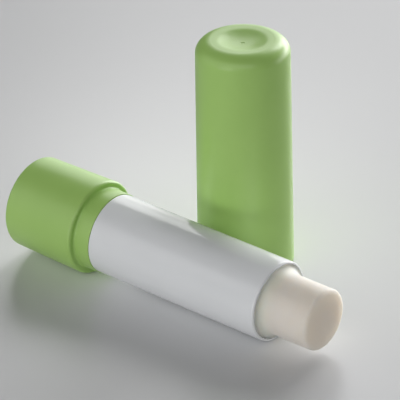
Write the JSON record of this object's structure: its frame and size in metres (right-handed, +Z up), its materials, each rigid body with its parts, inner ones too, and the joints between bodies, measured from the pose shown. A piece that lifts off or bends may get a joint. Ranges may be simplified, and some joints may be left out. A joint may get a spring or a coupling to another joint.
{
  "type": "lip balm",
  "caption": "Twist-up lip balm lying open with its balm wound out: turning base with a neck, slim tube, screw-driven carrier, and the push-on cap standing beside it.",
  "frame": {"origin": "centre of the cap's open mouth, on the surface that the cap and the stick rest on", "axes": "+Z up along the standing cap's axis; +X along the lying stick, from its base towards the balm's tip (the stick slopes down 1.94 degrees towards its mouth); +Y from the stick towards the cap"},
  "size_m": [0.0729, 0.0402, 0.0475],
  "materials": {
    "soft_green": "soft-touch matt green",
    "white": "satin white",
    "natural": "milky natural plastic",
    "wax": "cream wax, slightly translucent"
  },
  "bodies": {
    "tube_and_cap": {"tube": "white", "cap": "soft_green"},
    "turning_base": {"base": "soft_green", "spindle": "natural"},
    "rising_balm": {"carrier": "natural", "balm": "wax"}
  },
  "joints": [
    {"name": "base_twist", "type": "hinge", "parent": "tube_and_cap", "child": "turning_base", "pos_m": [-0.0192, -0.0212, 0.00947], "axis": [0.9994, 0, -0.0338], "range_deg": [-713, 1151]},
    {"name": "balm_rise", "type": "slide", "parent": "tube_and_cap", "child": "rising_balm", "axis": [0.9994, 0, -0.0338], "range_m": [-0.0119, 0.0192]}
  ],
  "couplings": [
    {"joint": "balm_rise", "follows": "base_twist", "m_per_rad": 0.00095493}
  ]
}
